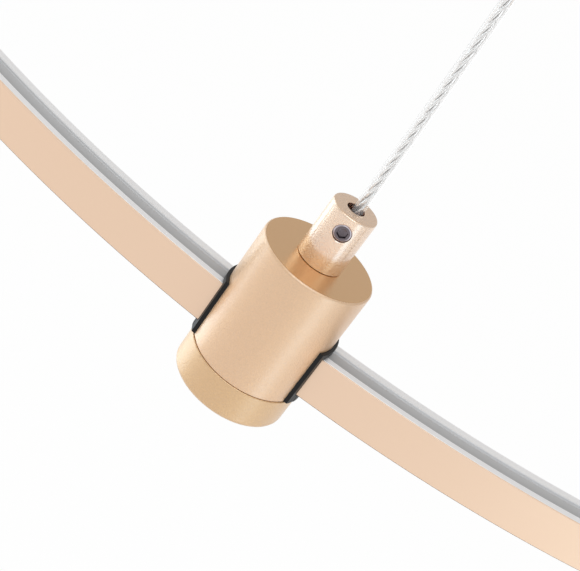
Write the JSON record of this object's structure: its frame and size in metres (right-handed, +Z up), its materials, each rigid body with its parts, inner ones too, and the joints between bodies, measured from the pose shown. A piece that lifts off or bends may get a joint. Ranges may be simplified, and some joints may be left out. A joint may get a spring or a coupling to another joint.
{
  "type": "pendant chandelier",
  "caption": "Slim round LED ring pendant hung level on clear taut cables from a round ceiling canopy, with slotted gold cylinder connectors and set-screw cable ferrules.",
  "frame": {"origin": "middle of the ceiling bracket's top face, on the ceiling", "axes": "+Z up into the ceiling; the light hangs towards -Z, with its first suspension point towards -Y"},
  "size_m": [0.4069, 0.4137, 0.5361],
  "materials": {
    "champagne_gold": "sand-blasted champagne-gold anodised aluminium, fine satin grain",
    "gold_band": "smooth satin champagne-gold anodised skin",
    "bare_aluminium": "bare drawn aluminium, fine lines along the ring",
    "black_plastic": "black moulded plastic",
    "dark_steel": "blackened steel",
    "steel": "turned steel",
    "zinc_steel": "zinc-plated steel",
    "brass": "crimped brass",
    "clear_cable": "clear sheath over braided tinned strands",
    "lead_sheath": "soft white insulation",
    "strip_white": "white solder mask",
    "chip_yellow": "phosphor",
    "opal": "opal silicone, faintly glossy",
    "driver_white": "moulded white plastic",
    "foam_tape": "closed-cell foam tape",
    "terminal_white": "moulded nylon",
    "splice_grey": "grey nylon"
  },
  "bodies": {
    "fixture": {"cable_ferrule_1": "champagne_gold", "cable_ferrule_2": "champagne_gold", "cable_ferrule_3": "champagne_gold", "cable_stop_1": "brass", "cable_stop_2": "brass", "cable_stop_3": "brass", "canopy_cover": "champagne_gold", "ceiling_bracket": "zinc_steel", "connector_body_1": "champagne_gold", "connector_body_2": "champagne_gold", "connector_body_3": "champagne_gold", "diffuser": "opal", "driver": "driver_white", "driver_pad": "foam_tape", "feed_lead_1": "lead_sheath", "feed_lead_2": "lead_sheath", "feed_lead_3": "lead_sheath", "ferrule_stud_1": "steel", "ferrule_stud_2": "steel", "ferrule_stud_3": "steel", "grip_barrel_1": "champagne_gold", "grip_barrel_2": "champagne_gold", "grip_barrel_3": "champagne_gold", "grip_end_ring_1": "champagne_gold", "grip_end_ring_2": "champagne_gold", "grip_end_ring_3": "champagne_gold", "grip_nuts": "zinc_steel", "grip_spring_1": "steel", "grip_spring_2": "steel", "grip_spring_3": "steel", "led_chips": "chip_yellow", "led_strip": "strip_white", "output_leads": "lead_sheath", "ring_band": "gold_band", "ring_profile": "bare_aluminium", "slot_liner_1": "black_plastic", "slot_liner_2": "black_plastic", "slot_liner_3": "black_plastic", "splice_caps": "splice_grey", "supply_leads": "lead_sheath", "suspension_cable_1": "clear_cable", "suspension_cable_2": "clear_cable", "suspension_cable_3": "clear_cable", "terminal_block": "terminal_white"},
    "cap_1": {"connector_cap_1": "champagne_gold", "ring_pad_1": "black_plastic"},
    "screw_1": {"ferrule_screw_1": "dark_steel"},
    "plunger_1": {"grip_plunger_1": "steel"},
    "cap_2": {"connector_cap_2": "champagne_gold", "ring_pad_2": "black_plastic"},
    "screw_2": {"ferrule_screw_2": "dark_steel"},
    "plunger_2": {"grip_plunger_2": "steel"},
    "cap_3": {"connector_cap_3": "champagne_gold", "ring_pad_3": "black_plastic"},
    "screw_3": {"ferrule_screw_3": "dark_steel"},
    "plunger_3": {"grip_plunger_3": "steel"},
    "thumb_right": {"cover_screw_right": "champagne_gold"},
    "thumb_left": {"cover_screw_left": "champagne_gold"}
  },
  "joints": [
    {"name": "cap_1_unscrew", "type": "slide", "parent": "fixture", "child": "cap_1", "axis": [0, 0, -1], "range_m": [0, 0.004]},
    {"name": "screw_1_back_out", "type": "slide", "parent": "fixture", "child": "screw_1", "axis": [0.1564, -0.9877, 0], "range_m": [0, 0.0015]},
    {"name": "plunger_1_release", "type": "slide", "parent": "fixture", "child": "plunger_1", "axis": [0, 0, 1], "range_m": [0, 0.003], "stiffness_N_per_m": 400, "springref_m": -0.002, "deforming": ["grip_spring_1"]},
    {"name": "cap_2_unscrew", "type": "slide", "parent": "fixture", "child": "cap_2", "axis": [0, 0, -1], "range_m": [0, 0.004]},
    {"name": "screw_2_back_out", "type": "slide", "parent": "fixture", "child": "screw_2", "axis": [0.7771, 0.6293, 0], "range_m": [0, 0.0015]},
    {"name": "plunger_2_release", "type": "slide", "parent": "fixture", "child": "plunger_2", "axis": [0, 0, 1], "range_m": [0, 0.003], "stiffness_N_per_m": 400, "springref_m": -0.002, "deforming": ["grip_spring_2"]},
    {"name": "cap_3_unscrew", "type": "slide", "parent": "fixture", "child": "cap_3", "axis": [0, 0, -1], "range_m": [0, 0.004]},
    {"name": "screw_3_back_out", "type": "slide", "parent": "fixture", "child": "screw_3", "axis": [-0.9336, 0.3584, 0], "range_m": [0, 0.0015]},
    {"name": "plunger_3_release", "type": "slide", "parent": "fixture", "child": "plunger_3", "axis": [0, 0, 1], "range_m": [0, 0.003], "stiffness_N_per_m": 400, "springref_m": -0.002, "deforming": ["grip_spring_3"]},
    {"name": "thumb_right_unscrew", "type": "slide", "parent": "fixture", "child": "thumb_right", "axis": [1, 0, 0], "range_m": [0, 0.006]},
    {"name": "thumb_left_unscrew", "type": "slide", "parent": "fixture", "child": "thumb_left", "axis": [-1, 0, 0], "range_m": [0, 0.006]}
  ]
}
